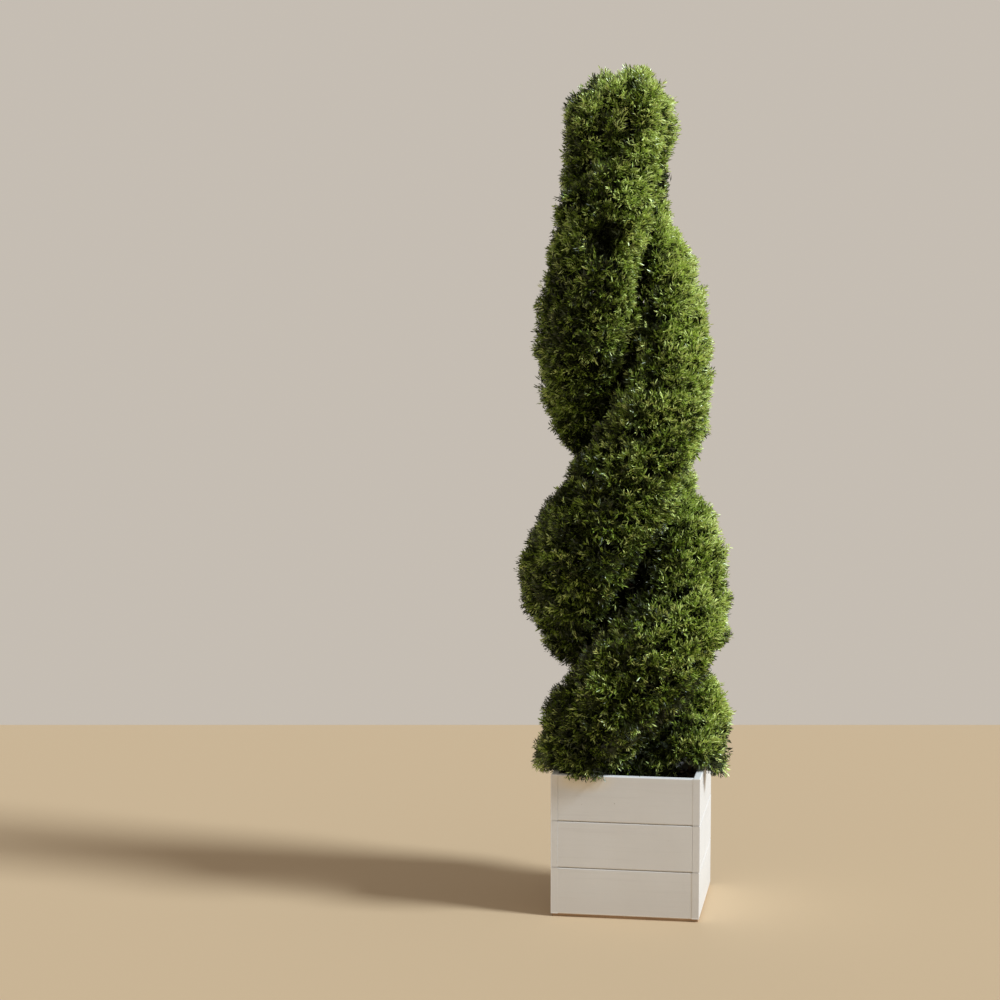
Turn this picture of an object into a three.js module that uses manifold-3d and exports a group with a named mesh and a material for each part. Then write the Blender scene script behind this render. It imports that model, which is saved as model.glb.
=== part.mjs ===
// A spiral topiary: two fat strands of clipped foliage wound round one stem, in a square painted planter.
// Millimetres, +Z up. The origin is the middle of the planter's flat underside, and the front faces -Y.
import * as THREE from 'three';
import { mergeVertices } from 'three/addons/utils/BufferGeometryUtils.js';
import Module from 'manifold-3d';

// The planter
const planterWidth = 250;
const planterHeight = 242;
const wallThickness = 12;
const tiers = 3;
const tierJoint = 1.4;
const boardChamfer = 1;
const baseHeight = 5;
const baseInset = 2;
const postWidth = 25;
const postBelowRim = 12;
const soilBelowRim = 37;

// The clearance between pieces that touch, and between the two strands' twisted faces
const gap = 0.3;
const strandGap = 1;

// The stem
const stemRadius = 14;
const stemTipRadius = 4;
const stemTop = 1372;
const flareRadius = 10;
const flareHeight = 16;
const stemSides = 12;
const stemStep = 36;

// The crown's outline, as pairs of a height and a value.
// Where its middle lies along X, which is how it leans:
const crownMiddle = [
  [200, -2], [400, 4], [560, -14], [660, -14], [750, -5], [930, -12], [1225, -38], [1420, -28],
];
// How far a strand reaches out from that middle:
const strandReach = [
  [243, 160], [290, 166], [540, 177], [750, 154], [930, 147], [1160, 113], [1225, 91], [1345, 92], [1420, 86],
];
// Half the strand's width across its reach:
const strandHalfWidth = [
  [243, 124], [330, 119], [640, 118], [750, 101], [940, 97], [1210, 87], [1420, 80],
];
// Which way the first strand faces, in degrees from +X turned towards +Y; the second faces the other way:
const strandFacing = [
  [243, -186], [400, -84], [543, 6], [740, 96], [940, 186], [1205, 276], [1270, 348], [1420, 372],
];
// The strand's section is an ellipse whose middle lies this share of the reach out, and less where it shrinks
const lobeCentre = 0.45;
const shrunkLobeCentre = 0.27;
const strands = [
  { name: 'first_strand', turn: 0, foot: 243.5, footScale: 0.97, footHeight: 14, domeHeight: 52, top: 1418 },
  { name: 'second_strand', turn: 180, foot: 250, footScale: 0.72, footHeight: 52, domeHeight: 84, top: 1411 },
];
const domeTipScale = 0.3;
const sectionPoints = 22;
const sectionStep = 22;
// Each strand is parted into masses at these heights, a quarter turn apart.
const massJoints = strandFacing.slice(1, -2).map((pair) => pair[0]);
const bumpHeight = 0.035;
const bumpWaves = [{ round: 3, pitch: 58, phase: 0.4 }, { round: 5, pitch: -37, phase: 2.1 }];

const stemFoot = planterHeight - soilBelowRim + gap;
const innerWidth = planterWidth - 2 * wallThickness - 2 * gap;

const material = (color, roughness) => new THREE.MeshStandardMaterial({ color, roughness, metalness: 0 });
const paint = material(0xe6e3dc, 0.55);
const rawWood = material(0x8a6544, 0.85);
const soil = material(0x2a2019, 1);
const bark = material(0x5b4634, 0.95);
const foliage = material(0x3f5f24, 0.9);

const wasm = await Module();
wasm.setup();

const topiary = new THREE.Group();

function addPiece(name, geometry, material) {
  const mesh = new THREE.Mesh(geometry, material);
  mesh.name = name;
  topiary.add(mesh);
  return mesh;
}

// A smooth curve through pairs of a height and a value
function curveThrough(pairs) {
  const curve = new THREE.CubicInterpolant(pairs.map((pair) => pair[0]), pairs.map((pair) => pair[1]), 1);
  return (height) => curve.evaluate(height)[0];
}

const middleAt = curveThrough(crownMiddle);
const reachAt = curveThrough(strandReach);
const halfWidthAt = curveThrough(strandHalfWidth);
const facingAt = curveThrough(strandFacing);

// A closed solid through rings that have the same number of points, with a fan at each end
function loftRings(rings) {
  const count = rings[0].length;
  const points = rings.flat();
  const triangles = [];
  for (let level = 0; level < rings.length - 1; level++) {
    for (let i = 0; i < count; i++) {
      const low = level * count + i;
      const lowNext = level * count + (i + 1) % count;
      triangles.push(low, lowNext, lowNext + count, low, lowNext + count, low + count);
    }
  }
  const fanOver = (ring, firstIndex, facesUp) => {
    const middle = new THREE.Vector3();
    ring.forEach((point) => middle.addScaledVector(point, 1 / count));
    const middleIndex = points.push(middle) - 1;
    for (let i = 0; i < count; i++) {
      const here = firstIndex + i;
      const next = firstIndex + (i + 1) % count;
      triangles.push(middleIndex, facesUp ? here : next, facesUp ? next : here);
    }
  };
  fanOver(rings[0], 0, false);
  fanOver(rings.at(-1), (rings.length - 1) * count, true);
  const geometry = new THREE.BufferGeometry().setFromPoints(points);
  geometry.setIndex(triangles);
  return geometry;
}

function toSolid(geometry) {
  const bare = geometry.clone();
  bare.deleteAttribute('normal');
  bare.deleteAttribute('uv');
  const merged = mergeVertices(bare, 1e-4);
  return new wasm.Manifold(new wasm.Mesh({
    numProp: 3,
    vertProperties: new Float32Array(merged.attributes.position.array),
    triVerts: new Uint32Array(merged.index.array),
  }));
}

function toGeometry(solid) {
  const mesh = solid.getMesh();
  const geometry = new THREE.BufferGeometry();
  geometry.setAttribute('position', new THREE.BufferAttribute(mesh.vertProperties, 3));
  geometry.setIndex(new THREE.BufferAttribute(mesh.triVerts, 1));
  return geometry;
}

// Evenly spaced heights from low to high, both included
function levels(low, high, step) {
  const count = Math.max(1, Math.round((high - low) / step));
  return Array.from({ length: count + 1 }, (_, i) => low + (high - low) * i / count);
}

// The stem follows the crown's middle, tapers to its tip and flares at the soil.
function stemRing(height, extra) {
  const share = (height - stemFoot) / (stemTop - stemFoot);
  const flare = flareRadius * Math.exp(-(height - stemFoot) / flareHeight);
  const radius = THREE.MathUtils.lerp(stemRadius, stemTipRadius, share) + flare + extra;
  return Array.from({ length: stemSides }, (_, i) => {
    const angle = 2 * Math.PI * i / stemSides;
    return new THREE.Vector3(
      middleAt(height) + radius * Math.cos(angle),
      radius * Math.sin(angle),
      height,
    );
  });
}

function stemHeights() {
  const flareEnd = stemFoot + 3 * flareHeight;
  return [...levels(stemFoot, flareEnd, flareHeight / 2), ...levels(flareEnd, stemTop, stemStep).slice(1)];
}

// The stem's room in the foliage is wider than the stem by the gap, and runs past its tip by it.
function stemRoom() {
  const rings = stemHeights().map((height) => stemRing(height, gap));
  rings[0].forEach((point) => { point.z -= gap; });
  rings.at(-1).forEach((point) => { point.z += gap; });
  return toSolid(loftRings(rings));
}

// The strand shrinks towards its foot and rounds over to its top.
function strandScale(strand, height) {
  if (height < strand.foot + strand.footHeight) {
    const share = (height - strand.foot) / strand.footHeight;
    return strand.footScale + (1 - strand.footScale) * Math.sin(share * Math.PI / 2);
  }
  const climb = Math.max(0, (height - (strand.top - strand.domeHeight)) / strand.domeHeight);
  return Math.max(domeTipScale, Math.sqrt(Math.max(0, 1 - climb * climb)));
}

// One level section: an uneven ellipse out along the strand's facing, flat where it meets the other strand
function strandRing(strand, height) {
  const facing = THREE.MathUtils.degToRad(facingAt(height) + strand.turn);
  const reach = reachAt(height);
  const scale = strandScale(strand, height);
  const centre = THREE.MathUtils.lerp(shrunkLobeCentre, lobeCentre, scale);
  return Array.from({ length: sectionPoints }, (_, i) => {
    const angle = 2 * Math.PI * i / sectionPoints;
    const bump = bumpWaves.reduce(
      (sum, wave) => sum + Math.sin(wave.round * angle + height / wave.pitch + wave.phase + strand.turn),
      0,
    );
    const size = scale * (1 + bumpHeight * bump / bumpWaves.length);
    const out = reach * (centre + (1 - lobeCentre) * size * Math.cos(angle));
    const along = Math.max(strandGap / 2, out);
    const across = halfWidthAt(height) * size * Math.sin(angle);
    return new THREE.Vector3(
      middleAt(height) + along * Math.cos(facing) - across * Math.sin(facing),
      along * Math.sin(facing) + across * Math.cos(facing),
      height,
    );
  });
}

function addStrand(strand, room) {
  const ends = [strand.foot, ...massJoints, strand.top];
  for (let i = 0; i < ends.length - 1; i++) {
    const low = i === 0 ? ends[i] : ends[i] + gap / 2;
    const high = i === ends.length - 2 ? ends[i + 1] : ends[i + 1] - gap / 2;
    const rings = levels(low, high, sectionStep).map((height) => strandRing(strand, height));
    const mass = toSolid(loftRings(rings)).subtract(room);
    addPiece(`${strand.name}_mass_${i + 1}`, toGeometry(mass), foliage);
  }
}

// A board lies along X, with its thickness along Y, and every edge is chamfered.
function boardGeometry(length, height) {
  const outline = new THREE.Shape([
    new THREE.Vector2(-length / 2, -height / 2),
    new THREE.Vector2(length / 2, -height / 2),
    new THREE.Vector2(length / 2, height / 2),
    new THREE.Vector2(-length / 2, height / 2),
  ]);
  const geometry = new THREE.ExtrudeGeometry(outline, {
    depth: wallThickness - 2 * boardChamfer,
    bevelThickness: boardChamfer,
    bevelSize: boardChamfer,
    bevelOffset: -boardChamfer,
    bevelSegments: 1,
  });
  geometry.center();
  geometry.rotateX(Math.PI / 2);
  return geometry;
}

// The side boards run the full depth, and the front and back boards fit between them.
const walls = [
  { name: 'front', side: -1, turn: 0, length: innerWidth },
  { name: 'back', side: 1, turn: 0, length: innerWidth },
  { name: 'left', side: -1, turn: Math.PI / 2, length: planterWidth },
  { name: 'right', side: 1, turn: Math.PI / 2, length: planterWidth },
];

function addWall(wall) {
  const boardHeight = (planterHeight - baseHeight - gap - (tiers - 1) * tierJoint) / tiers;
  const out = wall.side * (planterWidth - wallThickness) / 2;
  for (let tier = 0; tier < tiers; tier++) {
    const geometry = boardGeometry(wall.length, boardHeight);
    const board = addPiece(`planter_${wall.name}_board_${tier + 1}`, geometry, paint);
    board.rotation.z = wall.turn;
    const bottom = baseHeight + gap + tier * (boardHeight + tierJoint);
    board.position.set(wall.turn ? out : 0, wall.turn ? 0 : out, bottom + boardHeight / 2);
  }
}

function addBase() {
  const width = planterWidth - 2 * baseInset;
  const base = addPiece('planter_base', new THREE.BoxGeometry(width, width, baseHeight), rawWood);
  base.position.z = baseHeight / 2;
}

function addPosts() {
  const bottom = baseHeight + gap;
  const height = planterHeight - postBelowRim - bottom;
  const out = (innerWidth - postWidth) / 2;
  for (const [side, x] of [['left', -out], ['right', out]]) {
    for (const [end, y] of [['front', -out], ['back', out]]) {
      const geometry = new THREE.BoxGeometry(postWidth, postWidth, height);
      const post = addPiece(`planter_post_${end}_${side}`, geometry, rawWood);
      post.position.set(x, y, bottom + height / 2);
    }
  }
}

// The soil fills the planter round its posts.
function addSoil() {
  const bottom = baseHeight + gap;
  const half = innerWidth / 2 - gap;
  const notch = half - postWidth - gap;
  const corner = [[half, -notch], [half, notch], [notch, notch]];
  const outline = new THREE.Shape([0, 1, 2, 3].flatMap((quarter) => corner.map(
    ([x, y]) => new THREE.Vector2(x, y).rotateAround(new THREE.Vector2(), quarter * Math.PI / 2),
  )));
  const depth = planterHeight - soilBelowRim - bottom;
  const block = addPiece('soil', new THREE.ExtrudeGeometry(outline, { depth, bevelEnabled: false }), soil);
  block.position.z = bottom;
}

addBase();
walls.forEach(addWall);
addPosts();
addSoil();
addPiece('stem', loftRings(stemHeights().map((height) => stemRing(height, 0))), bark);
const room = stemRoom();
strands.forEach((strand) => addStrand(strand, room));

export default topiary;
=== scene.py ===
# %% [markdown]
# # A spiral topiary in a painted planter
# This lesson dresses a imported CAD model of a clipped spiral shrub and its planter. The CAD model
# gives every size. Here the plain foliage masses become boughs, twigs and leafy sprays, and the
# planter gets real boards, paint, raw wood and soil. Everything is in metres, with the middle of
# the planter's underside at the origin and its front facing -Y.

import itertools
import math

import bmesh
import bpy
import numpy as np
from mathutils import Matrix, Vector, noise
from mathutils.bvhtree import BVHTree
from mathutils.kdtree import KDTree


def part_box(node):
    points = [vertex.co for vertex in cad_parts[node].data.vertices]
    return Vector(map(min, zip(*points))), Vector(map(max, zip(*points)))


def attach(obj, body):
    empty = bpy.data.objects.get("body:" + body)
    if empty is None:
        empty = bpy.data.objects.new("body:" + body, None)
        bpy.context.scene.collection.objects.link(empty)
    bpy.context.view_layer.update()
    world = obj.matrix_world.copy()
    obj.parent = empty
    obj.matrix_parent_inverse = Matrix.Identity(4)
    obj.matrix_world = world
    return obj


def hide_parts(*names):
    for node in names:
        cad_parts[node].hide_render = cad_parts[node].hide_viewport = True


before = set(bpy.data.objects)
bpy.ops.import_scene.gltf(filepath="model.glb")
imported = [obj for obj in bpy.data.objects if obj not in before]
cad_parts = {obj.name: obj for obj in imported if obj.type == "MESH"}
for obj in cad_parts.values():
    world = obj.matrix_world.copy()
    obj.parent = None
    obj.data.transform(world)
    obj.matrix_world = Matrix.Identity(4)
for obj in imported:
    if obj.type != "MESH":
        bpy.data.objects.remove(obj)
scene = bpy.context.scene
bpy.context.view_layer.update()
strand_masses = sorted(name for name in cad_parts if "_strand_mass_" in name)

# %% [markdown]
# ## Camera
# The photo was taken from a little to the right of the front, at about chest height, with a
# short telephoto view. The camera's place, tilt and lens were worked out from the planter's
# corners, whose real sizes are known.

# %% Camera
tilt_down = 5.42
turn_left = 9.33
camera_data = bpy.data.cameras.new("camera")
camera_data.lens = 85.1
camera_data.sensor_width = 36.0
camera = bpy.data.objects.new("camera", camera_data)
camera.location = (0.423, -3.986, 1.074)
camera.rotation_euler = (math.radians(90 - tilt_down), 0, math.radians(turn_left))
scene.collection.objects.link(camera)
scene.camera = camera

# %% [markdown]
# ## Floor and light
# The plant stands on a plain pale floor, which ends behind it, and a plain pale surround fills
# the rest of the view. The surround is also the fill light, a little stronger from the right. The
# main light is a sun lamp at the right and above. It makes that side of the foliage bright and
# leaves the left side in shade, as in the photo. A sun lights the whole floor evenly, and its
# broad disc softens the shadow's edge.


# %% Node helpers
def add_node(tree, kind, settings=None, **values):
    """Adds a shader node. settings are its options, and values go to its inputs by name or number."""
    made = tree.nodes.new("ShaderNode" + kind)
    for option, value in (settings or {}).items():
        setattr(made, option, value)
    for socket, value in values.items():
        key = int(socket[1:]) if socket[0] == "i" and socket[1:].isdigit() else socket.replace("_", " ")
        if isinstance(value, bpy.types.NodeSocket):
            tree.links.new(value, made.inputs[key])
        else:
            made.inputs[key].default_value = value
    return made


def math_node(tree, operation, first, second=0.0):
    """The output of a Math node on two numbers or sockets."""
    return add_node(tree, "Math", {"operation": operation}, i0=first, i1=second).outputs[0]


def vector_node(tree, operation, first, second):
    """The output of a Vector Math node."""
    return add_node(tree, "VectorMath", {"operation": operation}, i0=first, i1=second).outputs[0]


def new_material(name, roughness):
    """A material with its node tree and its Principled shader."""
    made = bpy.data.materials.new(name)
    made.use_nodes = True
    made_shader = made.node_tree.nodes["Principled BSDF"]
    made_shader.inputs["Roughness"].default_value = roughness
    return made, made.node_tree, made_shader


# %% Floor
floor_size = 3.2
floor_turn = (0, 0, camera.rotation_euler.z)
bpy.ops.mesh.primitive_plane_add(size=floor_size, location=(0, 0, 0), rotation=floor_turn)
floor = bpy.context.object
floor.name = "floor"
pale_floor, _, floor_shader = new_material("pale_floor", 0.75)
floor_shader.inputs["Base Color"].default_value = (0.62, 0.455, 0.275, 1)
floor.data.materials.append(pale_floor)

# %% Surround
surround = bpy.data.worlds.new("surround")
surround.use_nodes = True
tree = surround.node_tree
view_x = add_node(tree, "SeparateXYZ", i0=add_node(tree, "TexCoord").outputs["Generated"]).outputs["X"]
fill_strength = add_node(
    tree, "MapRange", Value=view_x, From_Min=-0.6, From_Max=1.0, To_Min=0.30, To_Max=0.42
)
fill_light = tree.nodes["Background"]
fill_light.inputs["Color"].default_value = (1.0, 0.92, 0.84, 1)
tree.links.new(fill_strength.outputs["Result"], fill_light.inputs["Strength"])
backdrop = add_node(tree, "Background", Color=(0.56, 0.51, 0.45, 1))
ray = add_node(tree, "LightPath").outputs
seen_or_mirrored = math_node(tree, "MAXIMUM", ray["Is Camera Ray"], ray["Is Glossy Ray"])
seen_or_lit = add_node(
    tree, "MixShader", i0=seen_or_mirrored, i1=fill_light.outputs[0], i2=backdrop.outputs[0]
)
tree.links.new(seen_or_lit.outputs[0], tree.nodes["World Output"].inputs["Surface"])
scene.world = surround
scene.view_settings.view_transform = "Standard"
print("surround nodes", len(tree.nodes))

# %% Sun lamp
sun_azimuth = math.radians(79)
sun_height = math.radians(41)
level = math.cos(sun_height)
to_sun = Vector((math.sin(sun_azimuth) * level, -math.cos(sun_azimuth) * level, math.sin(sun_height)))
sun_data = bpy.data.lights.new("soft_sun", "SUN")
sun_data.energy = 3.6
sun_data.angle = math.radians(14)
sun_data.color = (0.79, 0.895, 1.0)
sun_lamp = bpy.data.objects.new("soft_sun", sun_data)
sun_lamp.location = to_sun * 3
sun_lamp.rotation_euler = to_sun.to_track_quat("Z", "Y").to_euler()
scene.collection.objects.link(sun_lamp)
print("sun direction", tuple(to_sun))

# %% [markdown]
# ## Shared surface effects
# Several surfaces need the same few effects: a grain that runs along a piece, a mask for the
# strip next to a board's edges, tints laid one over another, and two colours mottled by noise.
# The grain, the edge mask and the mottles are node groups, built once, which only put out values.
# Two attributes on the pieces tell the first two where they are: "grain_place" runs along the
# piece in metres, and "edge_place" runs from -1 to 1 between its edges.


# %% Group and mask helpers
def node_group(name, inputs, outputs):
    """A node group that puts out numbers. Its inputs are default numbers, or None for a vector."""
    group = bpy.data.node_groups.new(name, "ShaderNodeTree")
    for label, default in inputs.items():
        kind = "NodeSocketVector" if default is None else "NodeSocketFloat"
        socket = group.interface.new_socket(label, in_out="INPUT", socket_type=kind)
        if default is not None:
            socket.default_value = default
    for label in outputs:
        group.interface.new_socket(label, in_out="OUTPUT", socket_type="NodeSocketFloat")
    return group, group.nodes.new("NodeGroupInput"), group.nodes.new("NodeGroupOutput")


def band(tree, value, low, high):
    """A smooth step from 0 at low to 1 at high."""
    smooth = {"interpolation_type": "SMOOTHSTEP"}
    return add_node(tree, "MapRange", smooth, Value=value, From_Min=low, From_Max=high).outputs["Result"]


def overlap(tree, mask, *others):
    """The product of several masks."""
    for other in others:
        mask = math_node(tree, "MULTIPLY", mask, other)
    return mask


# %% Grain group
grain_group, grain_in, grain_out = node_group(
    "grain", {"Place": None, "Fineness": 120.0, "Stretch": 0.04}, ["Streaks", "Rings"]
)
x, y, z = add_node(grain_group, "SeparateXYZ", i0=grain_in.outputs["Place"]).outputs
along = math_node(grain_group, "MULTIPLY", x, grain_in.outputs["Stretch"])
drawn_out = add_node(grain_group, "CombineXYZ", X=along, Y=y, Z=z).outputs[0]
fineness = grain_in.outputs["Fineness"]
grain_streaks = add_node(
    grain_group, "TexNoise", Vector=drawn_out, Scale=fineness, Detail=6.0, Roughness=0.62
)
grain_rings = add_node(
    grain_group,
    "TexWave",
    {"wave_type": "BANDS", "bands_direction": "Y"},
    Vector=drawn_out,
    Scale=24.0,
    Distortion=9.0,
    Detail=3.0,
    Detail_Scale=1.4,
)
grain_group.links.new(grain_streaks.outputs["Fac"], grain_out.inputs["Streaks"])
grain_group.links.new(grain_rings.outputs["Fac"], grain_out.inputs["Rings"])
print("grain nodes", len(grain_group.nodes))

# %% Edge group
edge_group, edge_in, edge_out = node_group("near_edge", {"Place": None, "Start": 0.9}, ["Across"])
y = add_node(edge_group, "SeparateXYZ", i0=edge_in.outputs["Place"]).outputs["Y"]
off_middle = math_node(edge_group, "ABSOLUTE", y)
edge_start = edge_in.outputs["Start"]
edge_rise = add_node(edge_group, "MapRange", Value=off_middle, From_Min=edge_start, From_Max=1.0)
edge_group.links.new(edge_rise.outputs["Result"], edge_out.inputs["Across"])
print("edge nodes", len(edge_group.nodes))

# %% Mottle group
mottle_group, mottle_in, mottle_out = node_group(
    "mottle", {"Place": None, "Fineness": 240.0, "Detail": 2.0, "Low": 0.35, "High": 0.65}, ["Mask", "Height"]
)
place, fineness, detail, low, high = mottle_in.outputs[:5]
mottles = add_node(mottle_group, "TexNoise", Vector=place, Scale=fineness, Detail=detail).outputs["Fac"]
mottle_group.links.new(band(mottle_group, mottles, low, high), mottle_out.inputs["Mask"])
mottle_group.links.new(mottles, mottle_out.inputs["Height"])
print("mottle nodes", len(mottle_group.nodes))


# %% Material helpers
def place_attribute(tree, name):
    """The vector that a mesh attribute holds."""
    return add_node(tree, "Attribute", {"attribute_name": name}).outputs["Vector"]


def use_group(tree, group, **values):
    """Places a node group in a material."""
    return add_node(tree, "Group", {"node_tree": group}, **values)


def mix_colour(tree, mask, first, second):
    """Mixes two colours by a mask."""
    return add_node(tree, "Mix", {"data_type": "RGBA"}, i0=mask, i6=first, i7=second).outputs[2]


def tinted(tree, colour, layers):
    """Lays tints over a colour, one by one. layers holds (mask, strength, tint) rows."""
    for mask, strength, tint in layers:
        colour = mix_colour(tree, math_node(tree, "MULTIPLY", mask, strength), colour, tint)
    return colour


def add_bump(tree, shader, height, strength, distance):
    """Lets a height raise and sink the shading of the surface."""
    bump = add_node(tree, "Bump", Height=height, Strength=strength, Distance=distance)
    tree.links.new(bump.outputs["Normal"], shader.inputs["Normal"])


def mottled_material(name, roughness, mottle, colours, bump=None, stretch=None):
    """Two colours mixed by mottles, which stretch can draw out, and a bump of the same mottles."""
    made, tree, shader = new_material(name, roughness)
    place = add_node(tree, "TexCoord").outputs["Object"]
    if stretch:
        place = vector_node(tree, "MULTIPLY", place, stretch)
    mottles = use_group(tree, mottle_group, Place=place, **mottle).outputs
    tree.links.new(mix_colour(tree, mottles["Mask"], *colours), shader.inputs["Base Color"])
    if bump:
        add_bump(tree, shader, mottles["Height"], *bump)
    return made


# %% [markdown]
# ## White paint
# The boards are softwood under a satin white paint. Brushing leaves fine streaks along each board, the grain
# shows through a little, the joints hold a trace of grime, and there are a few specks. A painted highlight
# whitens the paint along the edges, the rim and the foot, and a painted shade darkens it lower down. On the
# front left a painted warm light lifts the shade under the foliage, and the right side has a grey streak
# below the rim. Each is a mask and a tint, worked out from attributes and from Object coordinates.

# %% White paint
white_paint, tree, shader = new_material("white_paint", 0.42)
grain_place = place_attribute(tree, "grain_place")
grain = use_group(tree, grain_group, Place=grain_place).outputs["Streaks"]
brush = use_group(tree, grain_group, Place=grain_place, Fineness=420.0, Stretch=0.02).outputs["Streaks"]
edge_place = place_attribute(tree, "edge_place")
joint = use_group(tree, edge_group, Place=edge_place, Start=0.93).outputs["Across"]
paint_place = add_node(tree, "TexCoord").outputs["Object"]
x, y, z = add_node(tree, "SeparateXYZ", i0=paint_place).outputs
patches = add_node(tree, "TexNoise", Vector=paint_place, Scale=9.0, Detail=4.0).outputs["Fac"]

# %% Painted edge highlight and foot shade
# A painted highlight whitens the paint along the corners, on the rim's top and along the foot, and a painted
# shade darkens it towards the foot.
off_middle = math_node(tree, "MINIMUM", math_node(tree, "ABSOLUTE", x), math_node(tree, "ABSOLUTE", y))
rim_or_foot = math_node(tree, "MAXIMUM", band(tree, z, 0.2400, 0.2412), band(tree, z, 0.0085, 0.0060))
painted_edge_highlight = math_node(tree, "MAXIMUM", band(tree, off_middle, 0.1230, 0.1245), rim_or_foot)
painted_foot_shade = band(tree, z, 0.085, 0.010)

# %% Painted warm light, grey streak and specks
# A painted warm light lightens and warms the front left below the rim, where the foliage casts its shadow.
warm_light_middle = (-0.075, -0.125, 0.236)
warm_light_squash = (1.0, 1.0, 2.4)
grey_streak_y = -0.043
from_warm_light = vector_node(tree, "SUBTRACT", paint_place, warm_light_middle)
from_warm_light = vector_node(tree, "MULTIPLY", from_warm_light, warm_light_squash)
from_warm_light = add_node(tree, "VectorMath", {"operation": "LENGTH"}, i0=from_warm_light).outputs["Value"]
painted_warm_light = overlap(tree, band(tree, from_warm_light, 0.070, 0.015), band(tree, patches, 0.2, 0.5))
# A grey streak darkens the right side's face just below the rim.
from_grey_streak = math_node(tree, "ABSOLUTE", math_node(tree, "SUBTRACT", y, grey_streak_y))
grey_streak = overlap(
    tree,
    band(tree, from_grey_streak, 0.026, 0.008),
    band(tree, z, 0.202, 0.230),
    band(tree, x, 0.1235, 0.1245),
)
from_speck = add_node(tree, "TexVoronoi", Vector=paint_place, Scale=55.0, Randomness=1.0).outputs["Distance"]
specks = overlap(tree, band(tree, from_speck, 0.075, 0.03), band(tree, patches, 0.55, 0.62))

# %% Paint colour and relief
paint_tone = mix_colour(
    tree, band(tree, patches, 0.35, 0.7), (0.830, 0.812, 0.780, 1), (0.805, 0.785, 0.750, 1)
)
# The whitening is a painted highlight, the darkening towards the foot a painted shade, and the warm tan a
# painted warm light.
paint_layers = (
    (band(tree, grain, 0.5, 0.75), 0.3, (0.70, 0.68, 0.645, 1)),
    (joint, 0.2, (0.44, 0.405, 0.36, 1)),
    (painted_warm_light, 0.8, (0.97, 0.85, 0.66, 1)),
    (painted_foot_shade, 0.4, (0.66, 0.635, 0.60, 1)),
    (painted_edge_highlight, 0.75, (0.95, 0.945, 0.93, 1)),
    (grey_streak, 0.85, (0.28, 0.285, 0.30, 1)),
    (specks, 0.6, (0.36, 0.31, 0.25, 1)),
)
tree.links.new(tinted(tree, paint_tone, paint_layers), shader.inputs["Base Color"])
paint_rough = add_node(tree, "MapRange", Value=brush, To_Min=0.36, To_Max=0.56)
tree.links.new(paint_rough.outputs["Result"], shader.inputs["Roughness"])
grain_relief = math_node(tree, "MULTIPLY", grain, 0.7)
brush_relief = math_node(tree, "MULTIPLY", brush, 0.5)
add_bump(tree, shader, math_node(tree, "ADD", grain_relief, brush_relief), 0.35, 0.0006)
print("paint nodes", len(tree.nodes))

# %% [markdown]
# ## Raw wood
# The corner posts and the base are bare softwood, browned by damp. The same grain group gives
# them their streaks and rings, with stronger colours and a deeper bump than under the paint.

# %% Raw wood
raw_wood, tree, shader = new_material("raw_wood", 0.72)
wood_grain = use_group(tree, grain_group, Place=place_attribute(tree, "grain_place"))
wood_edge = use_group(tree, edge_group, Place=place_attribute(tree, "edge_place"))
streaks = wood_grain.outputs["Streaks"]
wood_rings = mix_colour(tree, wood_grain.outputs["Rings"], (0.44, 0.28, 0.16, 1), (0.60, 0.42, 0.26, 1))
wood_layers = (
    (band(tree, streaks, 0.4, 0.7), 1.0, (0.28, 0.17, 0.09, 1)),
    (wood_edge.outputs["Across"], 0.4, (0.66, 0.50, 0.34, 1)),
)
tree.links.new(tinted(tree, wood_rings, wood_layers), shader.inputs["Base Color"])
add_bump(tree, shader, streaks, 0.6, 0.0012)
print("wood nodes", len(tree.nodes))

# %% [markdown]
# ## Planter boards
# Each wall is three sawn boards, one above another. Real boards have softly broken edges and
# aren't quite flat, which makes the fine dark joints between them. One front board and one side
# board are modelled from a cube: it is scaled to the CAD node's box, its edges are bevelled, and
# it is cut across its length so that it can bow a little. Each is then copied to every place that
# the CAD model gives, and each copy bows in its own way.


# %% Modelling helpers
def select_only(*objects):
    """Selects these objects alone, with the first one active."""
    bpy.ops.object.select_all(action="DESELECT")
    for one in objects:
        one.select_set(True)
    bpy.context.view_layer.objects.active = objects[0]


def select_edges(piece, test):
    """In edit mode, selects the edges whose two ends pass the test."""
    bpy.ops.mesh.select_mode(type="EDGE")
    bpy.ops.mesh.select_all(action="DESELECT")
    edit = bmesh.from_edit_mesh(piece.data)
    for edge in edit.edges:
        edge.select_set(test(edge.verts[0].co, edge.verts[1].co))
    bmesh.update_edit_mesh(piece.data)


def set_attribute(piece, name, rows):
    """Stores one vector for each vertex, which a material reads."""
    made = piece.data.attributes.new(name, "FLOAT_VECTOR", "POINT")
    made.data.foreach_set("vector", np.asarray(rows, dtype=np.float32).ravel())


def vertex_places(piece):
    """The places of a mesh's vertices, one row each."""
    flat = np.empty(len(piece.data.vertices) * 3)
    piece.data.vertices.foreach_get("co", flat)
    return flat.reshape(-1, 3)


def move_vertices(piece, places):
    """Puts the vertices in new places."""
    piece.data.vertices.foreach_set("co", np.asarray(places, dtype=np.float32).ravel())
    piece.data.update()


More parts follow.
